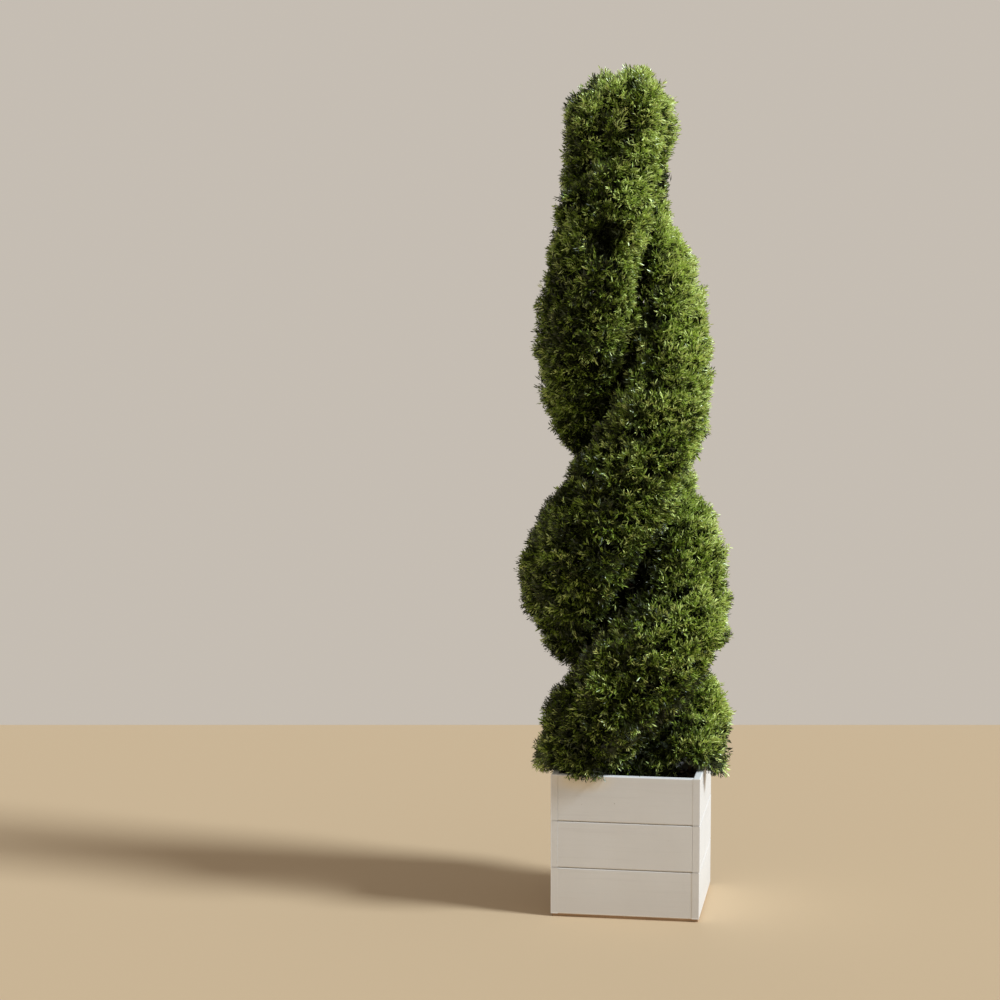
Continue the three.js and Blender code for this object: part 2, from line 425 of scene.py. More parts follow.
# %% A length of timber
def timber(name, size, axes, cuts, edge_bevel, end_bevel):
    """A length of timber at the origin. axes gives its length, width and thickness directions."""
    long_axis = axes[0]
    bpy.ops.object.select_all(action="DESELECT")
    bpy.ops.mesh.primitive_cube_add(size=1, location=(0, 0, 0))
    piece = bpy.context.object
    piece.name = name
    bpy.ops.object.mode_set(mode="EDIT")
    bpy.ops.mesh.select_all(action="SELECT")
    bpy.ops.transform.resize(value=tuple(size))

    def runs_along(a, b):
        return abs(a[long_axis] - b[long_axis]) > size[long_axis] / 2

    select_edges(piece, lambda a, b: not runs_along(a, b))
    bpy.ops.mesh.bevel(offset=end_bevel, segments=2, affect="EDGES")
    select_edges(piece, runs_along)
    bpy.ops.mesh.bevel(offset=edge_bevel - end_bevel, segments=3, affect="EDGES")
    select_edges(piece, runs_along)
    bpy.ops.mesh.subdivide(number_cuts=cuts)
    bpy.ops.mesh.select_all(action="SELECT")
    bpy.ops.mesh.normals_make_consistent(inside=False)
    bpy.ops.object.mode_set(mode="OBJECT")
    return piece


# %% A timber in its place
def placed_timber(pattern, node, axes, bow, seed, material):
    """A copy of a modelled timber in a CAD node's place, slightly bowed."""
    low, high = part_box(node)
    middle = np.array((low + high) / 2)
    select_only(pattern)
    bpy.ops.object.duplicate(linked=False)
    piece = bpy.context.object
    piece.name = node.replace("planter_", "") + "_timber"
    places = vertex_places(piece)
    half = np.abs(places).max(axis=0)
    relative = places / half
    draws = np.random.default_rng(seed)
    along = relative[:, axes[0]]
    sway = bow * draws.uniform(0.4, 1.0) * np.cos(along * 1.6 + draws.uniform(-0.6, 0.6))
    ripple = 0.25 * bow * np.sin(along * draws.uniform(5, 9) + draws.uniform(0, 6))
    bowed = places.copy()
    bowed[:, axes[2]] += (sway + ripple - bow * 0.5) * draws.choice((-1, 1))
    move_vertices(piece, bowed + middle)
    set_attribute(piece, "grain_place", places[:, axes] + draws.uniform(-3, 3, 3))
    set_attribute(piece, "edge_place", relative[:, axes])
    piece.data.materials.append(material)
    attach(piece, "root")
    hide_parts(node)


# %% Boards of the four walls
# Each list gives a timber's length, width and thickness axes.
ALONG_X = [0, 2, 1]
ALONG_Y = [1, 2, 0]
ALONG_Z = [2, 0, 1]
# Paint fills the gaps between the boards, so each is a little larger than its CAD box.
end_fill = 0.0005
joint_fill = 0.0008
seed_count = 0
for walls, axes in ((("front", "back"), ALONG_X), (("left", "right"), ALONG_Y)):
    low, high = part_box(f"planter_{walls[0]}_board_1")
    painted_size = high - low + Vector((end_fill if axes == ALONG_X else 0, 0, joint_fill))
    pattern = timber("board_pattern", painted_size, axes, cuts=9, edge_bevel=0.0020, end_bevel=0.0002)
    for wall in walls:
        for row in (1, 2, 3):
            seed_count += 1
            node = f"planter_{wall}_board_{row}"
            placed_timber(pattern, node, axes, 0.0003, seed_count, white_paint)
    bpy.data.objects.remove(pattern)
print("boards placed", seed_count)

# %% [markdown]
# ## Corner posts and base
# Inside each corner stands a square post of raw wood, which the boards are fixed to, and a thin
# base closes the bottom. The post at the back right shows between the foliage and the rim. They
# are made like the boards, from their own CAD boxes.

# %% Posts and base
low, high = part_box("planter_post_front_left")
pattern = timber("post_pattern", high - low, ALONG_Z, cuts=7, edge_bevel=0.0016, end_bevel=0.0008)
for end, side in itertools.product(("front", "back"), ("left", "right")):
    seed_count += 1
    node = f"planter_post_{end}_{side}"
    placed_timber(pattern, node, ALONG_Z, 0.0002, seed_count, raw_wood)
bpy.data.objects.remove(pattern)
low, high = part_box("planter_base")
pattern = timber("base_pattern", high - low, ALONG_X, cuts=7, edge_bevel=0.001, end_bevel=0.0006)
placed_timber(pattern, "planter_base", ALONG_X, 0.0, seed_count + 1, raw_wood)
bpy.data.objects.remove(pattern)
print("timbers placed", seed_count + 1)

# %% [markdown]
# ## Soil
# The planter is filled with dark bark compost to a little under the rim. A copy of the CAD solid
# keeps the notches for the posts. It is remeshed into small even faces, its top is pushed up and
# down by noise of three sizes, and loose chips of bark lie on it.


# %% Copies of CAD nodes
def merged_copy(name, nodes):
    """One object with its own mesh that holds copies of some CAD nodes, with doubles merged."""
    sources = [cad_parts[node] for node in nodes]
    for source in sources:
        source.hide_set(False)
    select_only(*sources)
    bpy.ops.object.duplicate(linked=False)
    bpy.ops.object.join()
    copy = bpy.context.object
    copy.name = name
    copy.data.materials.clear()
    bpy.ops.object.mode_set(mode="EDIT")
    bpy.ops.mesh.select_all(action="SELECT")
    bpy.ops.mesh.remove_doubles(threshold=0.00001)
    bpy.ops.mesh.normals_make_consistent(inside=False)
    bpy.ops.object.mode_set(mode="OBJECT")
    return copy


def apply_modifier(piece, kind, **settings):
    """Adds a modifier to the active object with some settings, and applies it."""
    made = piece.modifiers.new(kind.lower(), kind)
    for option, value in settings.items():
        setattr(made, option, value)
    bpy.ops.object.modifier_apply(modifier=made.name)


def rough_height(place, sizes):
    """The sum of several noises at one place. sizes holds (wavelength, height) pairs."""
    return sum(height * noise.noise(Vector(place) / wavelength) for wavelength, height in sizes)


# %% Soil body
rough_half_width = 0.110
top_layer = 0.003
soil_noises = ((0.03, 0.005), (0.009, 0.003), (0.004, 0.0015))
soil_piece = merged_copy("compost", ["soil"])
soil_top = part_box("soil")[1].z
apply_modifier(soil_piece, "REMESH", mode="VOXEL", voxel_size=0.004)
places = vertex_places(soil_piece)
for place in places:
    off_the_walls = max(abs(place[0]), abs(place[1])) < rough_half_width
    if off_the_walls and place[2] > soil_top - top_layer:
        place[2] += rough_height(place, soil_noises)
move_vertices(soil_piece, places)
bpy.ops.object.shade_smooth()
print("soil faces", len(soil_piece.data.polygons))

# %% Soil material
soil_browns = ((0.018, 0.011, 0.007, 1), (0.07, 0.042, 0.024, 1))
crumbs = {"Fineness": 260.0, "Detail": 8.0, "High": 0.7}
compost = mottled_material("bark_compost", 0.95, crumbs, soil_browns, bump=(0.9, 0.002))
soil_piece.data.materials.append(compost)
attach(soil_piece, "root")
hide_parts("soil")


# %% Joined meshes from arrays
def joined_mesh(name, corners, faces, material):
    """One object from many small shapes. corners is (shapes, points, 3), faces index one shape."""
    count, points = corners.shape[:2]
    faces = np.asarray(faces, dtype=np.int64)
    sides = faces.shape[1]
    indices = (faces[None] + (np.arange(count) * points)[:, None, None]).reshape(-1)
    mesh = bpy.data.meshes.new(name)
    mesh.vertices.add(count * points)
    mesh.vertices.foreach_set("co", corners.astype(np.float32).ravel())
    mesh.loops.add(len(indices))
    mesh.loops.foreach_set("vertex_index", indices.astype(np.int32))
    mesh.polygons.add(len(indices) // sides)
    mesh.polygons.foreach_set("loop_start", np.arange(0, len(indices), sides, dtype=np.int32))
    mesh.update(calc_edges=True)
    mesh.materials.append(material)
    piece = bpy.data.objects.new(name, mesh)
    scene.collection.objects.link(piece)
    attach(piece, "root")
    print(name, "faces", len(mesh.polygons))
    return piece


def unit(rows):
    """Each row scaled to length 1."""
    return rows / np.maximum(np.linalg.norm(rows, axis=-1, keepdims=True), 1e-9)


def turned(shapes, *axes):
    """The points of each shape, turned from its own axes, which are given in the world's."""
    return shapes @ np.stack(axes, axis=1)


# %% Bark chips
UP = np.array([0, 0, 1.0])
draws = np.random.default_rng(31)
chip_count = 1500
chip_field = 0.105
chip_half_size = np.array([[0.006, 0.003, 0.0012]])
chip_height = soil_top + 0.0015
spot = draws.uniform(-chip_field, chip_field, (chip_count, 2))
turn = draws.uniform(0, math.pi, chip_count)
tilt = draws.normal(0, 0.3, chip_count)
long = unit(np.column_stack([np.cos(turn), np.sin(turn), tilt]))
wide = unit(np.cross(UP, long))
up = np.cross(long, wide)
size = draws.uniform(0.6, 1.6, (chip_count, 1)) * chip_half_size
cube_corners = np.array([(x, y, z) for x in (-1, 1) for y in (-1, 1) for z in (-1, 1)], dtype=float)
cube_faces = [(0, 1, 3, 2), (4, 6, 7, 5), (0, 4, 5, 1), (2, 3, 7, 6), (0, 2, 6, 4), (1, 5, 7, 3)]
shape = cube_corners * draws.uniform(0.55, 1.0, (chip_count, 8, 1)) * size[:, None]
centre = np.column_stack([spot, np.full(chip_count, chip_height)])
chip_places = turned(shape, long, wide, up) + centre[:, None]
chip_browns = ((0.04, 0.022, 0.012, 1), (0.16, 0.09, 0.045, 1))
bark_bits = mottled_material("bark_chips", 0.9, {"Fineness": 90.0}, chip_browns)
joined_mesh("loose_chips", chip_places, cube_faces, bark_bits)

# %% [markdown]
# ## Stem
# The stem is hidden by the foliage, but all limbs grow from it, so it gets true bark. A copy of
# the CAD solid is cut fine with the subdivide operator, and its vertices are pushed along their
# normals by a noise that is stretched up the stem, which makes ridges and furrows.

# %% Bark material
bark_browns = ((0.055, 0.03, 0.018, 1), (0.20, 0.115, 0.065, 1))
bark_furrows = {"Fineness": 240.0, "Detail": 7.0, "Low": 0.36, "High": 0.66}
up_stem = (1.0, 1.0, 0.18)
bark = mottled_material("bark", 0.9, bark_furrows, bark_browns, bump=(0.8, 0.0015), stretch=up_stem)


# %% Stem with bark relief
def vertex_normals(piece):
    """The normals of a mesh's vertices, one row each."""
    return np.array([tuple(vertex.normal) for vertex in piece.data.vertices])


stem_piece = merged_copy("stem_bark", ["stem"])
cad_stem_places = vertex_places(stem_piece)
bpy.ops.object.mode_set(mode="EDIT")
bpy.ops.mesh.select_all(action="SELECT")
bpy.ops.mesh.subdivide(number_cuts=3, smoothness=0.6)
bpy.ops.object.mode_set(mode="OBJECT")
places = vertex_places(stem_piece)
furrow_noises = ((0.006, 0.0014), (0.0025, 0.0005))
mean_furrow = 0.0006
for place, normal in zip(places, vertex_normals(stem_piece)):
    furrows = rough_height((place[0], place[1], place[2] * 0.2), furrow_noises)
    place += normal * (furrows - mean_furrow)
move_vertices(stem_piece, places)
bpy.ops.object.shade_smooth()
stem_piece.data.materials.append(bark)
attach(stem_piece, "root")
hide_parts("stem")
print("stem faces", len(stem_piece.data.polygons))

# %% [markdown]
# ## The crown's clipped surface
# The shears leave the tips of all sprays on one soft, lumpy surface. To know where that surface
# is, the CAD masses are copied, joined, swollen by less than a millimetre so that they overlap,
# and remeshed into one even skin with a point about every 5 mm. Three egg shapes are joined in,
# which close the groove at the crest. The skin is a guide only: it says where each spray ends and
# which way it looks, and it is deleted before the end.

# %% Guide skin
# Each row is an egg's middle, its radius and how many times as tall as wide it is.
crest_fillers = [
    ((-0.028, 0.000, 1.335), 0.046, 1.7),
    ((-0.036, -0.036, 1.372), 0.033, 1.1),
    ((-0.034, -0.050, 1.326), 0.034, 1.6),
]
bpy.ops.object.select_all(action="DESELECT")
fillers = []
for centre, radius, tallness in crest_fillers:
    bpy.ops.mesh.primitive_uv_sphere_add(segments=24, ring_count=16, radius=radius, location=centre)
    bpy.context.object.scale = (1, 1, tallness)
    bpy.ops.object.transform_apply(location=True, scale=True)
    fillers.append(bpy.context.object)
guide = merged_copy("crown_guide", strand_masses)
apply_modifier(guide, "DISPLACE", strength=0.0009, mid_level=0.0)
select_only(guide, *fillers)
bpy.ops.object.join()
apply_modifier(guide, "REMESH", mode="VOXEL", voxel_size=0.0052)
apply_modifier(guide, "SMOOTH", factor=0.5, iterations=4)
skin = vertex_places(guide)
normals = vertex_normals(guide)
print("guide points", len(skin))

# %% [markdown]
# Clipping never leaves a perfect surface, so the guide is pushed in and out by noise, and pressed in or
# swollen where the photo's outline and its dark hollows ask for it. Then a fan of rays from each point tells
# how open it is: deep in the crevices between the strands few sprays grow, and their colours are darkened as
# a painted shade.


# %% Lumps and hollows
def ramp(values, start, width):
    """0 before start and 1 from one width past it. A width below zero runs downwards."""
    return np.clip((values - start) / width, 0, 1)


# Each row is a place, the reach round it and how far it is pressed in there. Below zero it swells.
pressed_places = [
    (-0.041, -0.118, 1.138, 0.042, 0.038),
    (0.004, -0.099, 1.192, 0.03, -0.007),
    (-0.02, -0.149, 0.765, 0.022, 0.012),
    (-0.077, -0.117, 1.03, 0.035, 0.011),
    (0.064, -0.087, 0.262, 0.044, 0.019),
    (0.01, -0.062, 0.574, 0.042, 0.022),
    (-0.172, -0.07, 0.575, 0.08, -0.005),
    (0.134, -0.045, 0.84, 0.09, 0.009),
    (0.15, -0.04, 0.905, 0.11, 0.012),
    (0.12, -0.01, 0.735, 0.078, 0.02),
    (0.17, -0.03, 0.53, 0.1, 0.009),
    (0.056, 0, 1.404, 0.047, 0.023),
    (-0.063, -0.005, 1.4, 0.034, -0.012),
    (-0.03, 0, 1.405, 0.034, -0.004),
    (0.05, 0.03, 1.393, 0.036, 0.009),
    (0.014, 0.01, 1.411, 0.03, -0.006),
    (-0.09, -0.01, 1.388, 0.036, 0.012),
    (-0.122, 0, 1.32, 0.06, 0.012),
    (-0.03, -0.074, 1.29, 0.032, 0.011),
    (-0.15, 0, 1.141, 0.045, 0.012),
    (-0.134, -0.012, 0.799, 0.04, -0.019),
    (-0.121, 0.046, 0.769, 0.028, 0.014),
    (-0.165, 0, 0.95, 0.06, -0.009),
    (-0.132, -0.02, 0.699, 0.05, -0.021),
    (-0.168, 0, 0.462, 0.04, 0.012),
    (0.118, -0.02, 1.09, 0.08, 0.009),
    (0.15, -0.04, 0.43, 0.062, 0.015),
    (0.096, 0.02, 0.715, 0.05, 0.012),
    (0.106, 0.088, 0.706, 0.04, 0.012),
    (0.113, 0.055, 0.703, 0.036, 0.01),
    (0.081, 0.041, 1.131, 0.045, 0.012),
    (0.165, 0.008, 0.486, 0.055, 0.012),
    (0.123, -0.052, 0.796, 0.036, 0.012),
    (0.146, 0.083, 0.365, 0.035, 0.009),
    (0.062, 0, 1.229, 0.032, 0.008),
    (-0.163, -0.006, 0.99, 0.035, -0.009),
    (0.126, 0.02, 0.98, 0.045, 0.006),
    (0.03, -0.052, 0.602, 0.026, 0.01),
    (0.063, -0.002, 1.304, 0.045, -0.014),
    (-0.12, -0.045, 1.288, 0.035, 0.006),
    (-0.125, -0.02, 1.235, 0.06, 0.012),
    (0.144, -0.03, 0.247, 0.048, -0.025),
    (0.138, 0.045, 0.24, 0.034, -0.014),
    (0.17, -0.005, 0.322, 0.055, 0.012),
    (-0.15, -0.02, 0.3, 0.08, 0.006),
    (0.098, -0.06, 0.252, 0.034, 0.01),
]
lumps = np.array([rough_height(place, ((0.07, 0.010), (0.030, 0.009))) for place in skin])
lumps *= ramp(skin[:, 2], 0.24, 0.08)
# The feet spread a little over the rim, and the crest is clipped a little lower.
lumps += 0.005 * ramp(skin[:, 2], 0.305, -0.05) * (np.hypot(skin[:, 0], skin[:, 1]) > 0.10)
lumps -= 0.006 * ramp(skin[:, 2], 1.36, 0.05)
dark_depth = 0.02
hollow_mask = np.zeros(len(skin))
for *centre, reach, depth in pressed_places:
    nearness = np.clip(1 - np.linalg.norm(skin - np.array(centre), axis=1) / reach, 0, 1)
    nearness = nearness * nearness * (3 - 2 * nearness)
    lumps -= depth * nearness
    # A deep press also marks a dark hollow, where fewer sprays grow and their shades are darkened as a
    # painted shade.
    if depth > dark_depth:
        hollow_mask = np.maximum(hollow_mask, nearness)
skin += normals * lumps[:, None]
move_vertices(guide, skin)
print("largest push", np.abs(lumps).max())

# %% [markdown]
# Between the feet of the two strands one could look past the foliage to the bare stem. The real
# plant has short shoots there, so a flat disc of extra points round the stem's foot gets sprays
# too. Those that lie inside the masses are hidden and thinned out by the next step.

# %% Shoots round the stem's foot
draws = np.random.default_rng(17)
foot_count = 1500
turn = draws.uniform(0, 2 * math.pi, foot_count)
reach = 0.106 * np.sqrt(draws.uniform(0.03, 1, foot_count))
out = np.column_stack([np.cos(turn), np.sin(turn), np.zeros(foot_count)])
foot_points = out * reach[:, None]
foot_points[:, 2] = draws.uniform(0.230, 0.262, foot_count)
foot_normals = unit(out * 0.5 + 0.8 * UP)
# The sprays round the stem's foot count as a shallow hollow: fewer grow, and their shades are darkened as a
# painted shade.
foot_darkness = 0.3
hollow_mask = np.concatenate([hollow_mask, np.full(foot_count, foot_darkness)])
skin = np.vstack([skin, foot_points])
normals = np.vstack([normals, foot_normals])
print("points with the foot's", len(skin))

# %% How open each point is
guide_tree = BVHTree.FromObject(guide, bpy.context.evaluated_depsgraph_get())
golden_turn = 2.399963
ray_count = 10
ray_turns = [(index * golden_turn, math.sqrt((index + 0.5) / ray_count)) for index in range(ray_count)]
ray_reach = 0.13
ray_lift = 0.004


def openness(place, normal):
    """The share of a fan of rays round the normal that leaves the crown."""
    side = normal.orthogonal().normalized()
    other = normal.cross(side)
    start = place + normal * ray_lift
    free = 0
    for turn, spread in ray_turns:
        lift = math.sqrt(1 - spread * spread * 0.92)
        ray = normal * lift + (side * math.cos(turn) + other * math.sin(turn)) * spread
        if guide_tree.ray_cast(start, ray, ray_reach)[0] is None:
            free += 1
    return free / len(ray_turns)


open_share = np.array([openness(Vector(place), Vector(normal)) for place, normal in zip(skin, normals)])
print("mean openness", open_share.mean())

# %% [markdown]
# ## Boughs and twigs
# Boughs aim at points under the skin about 7 cm apart. Each leaves the stem below its target,
# rises, and thins out. Twigs aim at points close under the skin, about 3 cm apart, and each
# leaves the nearest bough. All draws are seeded, so the plant grows the same way every time.


# %% Spread targets
def spread_points(candidates, gap, order):
    """Indices of candidates that are at least gap apart, taken in the given order."""
    cells = {}
    chosen = []
    for index in order:
        place = candidates[index]
        cell = tuple(int(value) for value in np.floor(place / gap))
        around = itertools.product(*((value - 1, value, value + 1) for value in cell))
        others = [other for spot in around for other in cells.get(spot, ())]
        if all(np.sum((candidates[other] - place) ** 2) >= gap * gap for other in others):
            cells.setdefault(cell, []).append(index)
            chosen.append(index)
    return np.array(chosen)


low_height = 0.25
cover = 0.008


def covered(points):
    """The points that lie inside the crown or low over the soil, so that no limb sticks out."""
    kept = []
    for point in points:
        nearest, normal, _, _ = guide_tree.find_nearest(Vector(point))
        kept.append(point[2] < low_height or (nearest - Vector(point)).dot(normal) > cover)
    return points[np.array(kept)]


def limb_ends(depth, gap):
    """Ends for limbs that lie a depth under the skin, with a gap between them."""
    targets = skin - normals * depth
    return covered(targets[spread_points(targets, gap, growth.permutation(len(skin)))])


growth = np.random.default_rng(11)
twig_depth = 0.024
bough_ends = limb_ends(depth=0.045, gap=0.072)
twig_ends = limb_ends(depth=twig_depth, gap=0.027)
print("boughs", len(bough_ends), "twigs", len(twig_ends))

# %% Stem line
stem_heights = np.unique(np.round(cad_stem_places[:, 2], 3))
stem_line = []
for height in stem_heights:
    ring = cad_stem_places[np.abs(cad_stem_places[:, 2] - height) < 0.002]
    if len(ring) > 5:
        stem_line.append((height, ring[:, 0].mean(), ring[:, 1].mean()))
stem_line = np.array(stem_line)
print("stem rings", len(stem_line))


def stem_point(height):
    """The middle of the stem at a height."""
    middle = [np.interp(height, stem_line[:, 0], stem_line[:, axis]) for axis in (1, 2)]
    return np.array([*middle, height])


# %% Limb helpers
def limb_path(start, end, lift, steps):
    """A curved path from start to end, with its middle lifted."""
    bend = (start + end) / 2 + lift * UP
    share = np.linspace(0, 1, steps)[:, None]
    return (1 - share) ** 2 * start + 2 * share * (1 - share) * bend + share**2 * end


def limb_tubes(paths, radii, sides):
    """Corners of many tapering tubes. paths is (limbs, steps, 3) and radii is (limbs, steps)."""
    forward = unit(np.gradient(paths, axis=1))
    across = unit(np.cross(forward, np.array([0.3, 0.2, 0.93])))
    upward = np.cross(forward, across)
    turns = np.arange(sides) * 2 * math.pi / sides
    ring = across[:, :, None] * np.cos(turns)[:, None] + upward[:, :, None] * np.sin(turns)[:, None]
    corners = paths[:, :, None] + ring * radii[:, :, None, None]
    return corners.reshape(len(paths), -1, 3)


def tube_faces(steps, sides):
    """The faces of one tube, with its ends closed."""
    faces = []
    last = (steps - 1) * sides
    for ring, side in itertools.product(range(0, last, sides), range(sides)):
        here = ring + side
        after = ring + (side + 1) % sides
        faces += [(here, after, after + sides), (here, after + sides, here + sides)]
    for side in range(1, sides - 1):
        faces += [(0, side + 1, side), (last, last + side, last + side + 1)]
    return faces


# %% Boughs
bough_steps = 12
bough_sides = 8
lowest_fork = 0.235
highest_fork = 1.33
wobble = 0.004
# Without a seed, the vector noise starts from an offset that is new in every run.
noise.seed_set(7)
bough_paths = []
for end in bough_ends:
    reach = np.hypot(*(end[:2] - stem_point(end[2])[:2]))
    start_height = min(max(end[2] - 0.8 * reach - 0.02, lowest_fork), highest_fork)
    path = limb_path(stem_point(start_height), end, lift=-0.01, steps=bough_steps)
    for point in path[1:]:
        point += np.array(noise.noise_vector(Vector(point) * 30)) * wobble
    bough_paths.append(path)
bough_paths = np.array(bough_paths)
bough_radii = np.linspace(1, 0.32, bough_steps)[None] * growth.uniform(0.0030, 0.0048, (len(bough_ends), 1))
bough_relief = growth.uniform(0.85, 1.15, bough_radii.shape)
bough_tubes = limb_tubes(bough_paths, bough_radii * bough_relief, bough_sides)
joined_mesh("boughs", bough_tubes, tube_faces(bough_steps, bough_sides), bark)

# %% Twigs
def nearest_to(places, candidates):
    """For each place, the index of the nearest candidate."""
    finder = KDTree(len(candidates))
    for index, point in enumerate(candidates):
        finder.insert(point, index)
    finder.balance()
    return np.array([finder.find(place)[1] for place in places])


# A twig starts on the bough point that lies nearest to a place a little below its end.
bough_points = bough_paths[:, 3:].reshape(-1, 3)
home_bough = nearest_to(twig_ends - 0.02 * UP, bough_points - 0.012 * UP)
twig_starts = bough_points[home_bough]
twig_steps = 5
twig_sides = 5
twig_paths = np.array([limb_path(start, end, 0.0, twig_steps) for start, end in zip(twig_starts, twig_ends)])
twig_radii = np.tile(np.linspace(0.0015, 0.0007, twig_steps), (len(twig_ends), 1))
twig_tubes = limb_tubes(twig_paths, twig_radii, twig_sides)
joined_mesh("twigs", twig_tubes, tube_faces(twig_steps, twig_sides), bark)

# %% [markdown]
# ## Foliage colours
# Young tips are a bright yellow green and the body of a spray is a deeper olive, a gap widened as painted
# light on the tips and painted shade on the bodies. The leaves inside the crown get little light, and they
# are coloured near black as a painted shade. The shades are dealt out spray by spray, partly at random and
# partly as painted light and shade: lighter towards the sun and higher up, and darker in the hollows and
# where the crown is closed. So each is a plain base colour, and the variety comes from many small leaves at
# many angles.


# %% Foliage materials
def leaf_green(name, colour, roughness=0.5, shine=0.4):
    """A plain leaf colour."""
    made, _, made_shader = new_material(name, roughness)
    made_shader.inputs["Base Color"].default_value = (*colour, 1)
    made_shader.inputs["Specular IOR Level"].default_value = shine
    return made


# The bodies are far darker than the tips. Young growth is lighter, and the gap is widened as painted shade on
# the bodies and painted light on the tips.
body_greens = [
    leaf_green("spray_green_deep", (0.013, 0.017, 0.003)),
    leaf_green("spray_green_dark", (0.021, 0.029, 0.004)),
    leaf_green("spray_green_middle", (0.033, 0.046, 0.007)),
    leaf_green("spray_green_fresh", (0.090, 0.130, 0.018)),
]
tip_greens = [
    leaf_green("tip_green_deep", (0.032, 0.043, 0.006), 0.36, 0.6),
    leaf_green("tip_green_middle", (0.066, 0.090, 0.012), 0.36, 0.6),
    leaf_green("tip_green_fresh", (0.330, 0.460, 0.060), 0.32, 0.9),
    leaf_green("tip_green_light", (0.780, 0.910, 0.270), 0.30, 1.0),
]
# The inner leaves are near black, a painted shade for the crown's inside.
inner_green = leaf_green("inner_green_old", (0.009, 0.012, 0.003), 0.8, 0.15)

# %% [markdown]
# ## Sprays
# A spray is a forked shoot: a thin stalk, four pairs of short side shoots, and one at the tip.
# Each shoot is a small kite of two faces, folded along its middle so that it catches the light
# from either side. A few patterns are drawn once, and many points of the guide skin get one of
# them: its stalk starts at the nearest twig's end, it leans outwards and a little up, and it ends
# near the clipped surface. The tip shoot and the two pairs next to it go to the lighter pieces,
# and the rest to the deeper ones. Arrays place them all at once, as there are tens of thousands.


# %% Spray patterns
belly_share = 0.64
fold_share = 0.25
tip_start = -0.013
tip_length = 0.0140
tip_width = 0.0019
side_width = 0.0018
# Each row is where a pair of side shoots leaves the spine, and how long they are.
side_shoots = ((-0.0062, 0.0090), (-0.0115, 0.0115), (-0.0185, 0.0145), (-0.0250, 0.0145))
lighter_pairs = 2


def kite(base, angle, length, width, tilt, roll):
    """Four corners of a folded shoot in the spray's own axes: x forward, y sideways, z up."""
    forward = np.array([math.cos(angle) * math.cos(tilt), math.sin(angle) * math.cos(tilt), math.sin(tilt)])
    flat = unit(np.cross(UP, forward))
    lifted = np.cross(forward, flat)
    across = flat * math.cos(roll) + lifted * math.sin(roll)
    belly = base + forward * length * belly_share + np.cross(forward, across) * width * fold_share
    return [base, belly + across * width / 2, base + forward * length, belly - across * width / 2]


def spray_pattern(draws):
    """Tip shoots and body shoots of one spray. The tip is at x = 0 and the stalk comes from -x."""
    bend = draws.uniform(-7, 7)

    def on_spine(x):
        return np.array([x, bend * x * x * 0.5, draws.uniform(-0.0006, 0.0006)])

    tip_roll = draws.uniform(-1.4, 1.4)
    base = on_spine(tip_start)
    turn, tilt = draws.uniform(-0.2, 0.2, 2)
    tips = [kite(base, turn, tip_length, tip_width, tilt, tip_roll)]
    bodies = []
    for row, (station, length) in enumerate(side_shoots):
        for side in (-1, 1):
            shoot = kite(
                on_spine(station + draws.uniform(-0.0015, 0.0015)),
                side * draws.uniform(0.36, 0.92),
                length * draws.uniform(0.7, 1.15),
                side_width * draws.uniform(0.85, 1.2),
                draws.uniform(-0.5, 0.5),
                draws.uniform(-1.3, 1.3),
            )
            (tips if row < lighter_pairs else bodies).append(shoot)
    return np.array(tips), np.array(bodies)


pattern_draws = np.random.default_rng(5)
spray_patterns = [spray_pattern(pattern_draws) for _ in range(8)]
kite_faces = [(0, 1, 2), (0, 2, 3)]
print("spray patterns", len(spray_patterns))

# %% Where each spray grows
draws = np.random.default_rng(29)
chance = np.clip(0.18 + 1.3 * open_share, 0.22, 0.72) * (1 - 0.8 * hollow_mask)
# Nothing grows along the right wall's inner side, where the photo shows the post.
post_gap = np.all((skin > (0.080, -0.10, 0.20)) & (skin < (0.110, 0.09, 0.262)), axis=1)
grown = (draws.random(len(skin)) < chance) & ~post_gap
tip_surface = skin[grown]
outward = normals[grown]
spray_open = open_share[grown]
spray_count = len(tip_surface)
home_twig = nearest_to(tip_surface - outward * twig_depth, twig_ends)
twig_tip = twig_ends[home_twig]
print("sprays", spray_count)

# %% How each spray leans
LEVEL = np.array([1, 1, 0])
low_down = ramp(tip_surface[:, 2], 0.285, -0.04)[:, None]
sideways = unit(tip_surface * LEVEL)
tuft_lean = draws.normal(0, 0.26, (len(twig_ends), 3))[home_twig]
leaning = 0.45 * unit(tip_surface - twig_tip) + 0.80 * outward + 0.40 * UP * (1 - low_down)
leaning += low_down * (0.5 * sideways - 0.25 * UP) + tuft_lean
leaning += draws.normal(0, 0.20, (spray_count, 3))
leaning = unit(leaning)

# %% Where each spray's tip ends
# A tuft stands out or in as a whole, its outer sprays are shorter, and a few whiskers stand out.
whisker_share = 0.03
deepest_tip = -0.015
farthest_tip = 0.012
tuft_height = draws.normal(0, 0.0052, len(twig_ends))[home_twig]
from_tuft = np.linalg.norm(tip_surface - twig_tip - leaning * twig_depth, axis=1)
tip_offset = tuft_height - 0.75 * np.clip(from_tuft - 0.008, 0, 0.02)
tip_offset += draws.normal(0, 0.0040, spray_count)
whisker = draws.random(spray_count) < whisker_share
tip_offset[whisker] += draws.uniform(0.003, 0.011, whisker.sum())
tip_offset = np.clip(tip_offset + 0.0005, deepest_tip, farthest_tip) + 0.007 * low_down[:, 0]
spray_tip = tip_surface + leaning * tip_offset[:, None]
print("mean tip offset", tip_offset.mean())

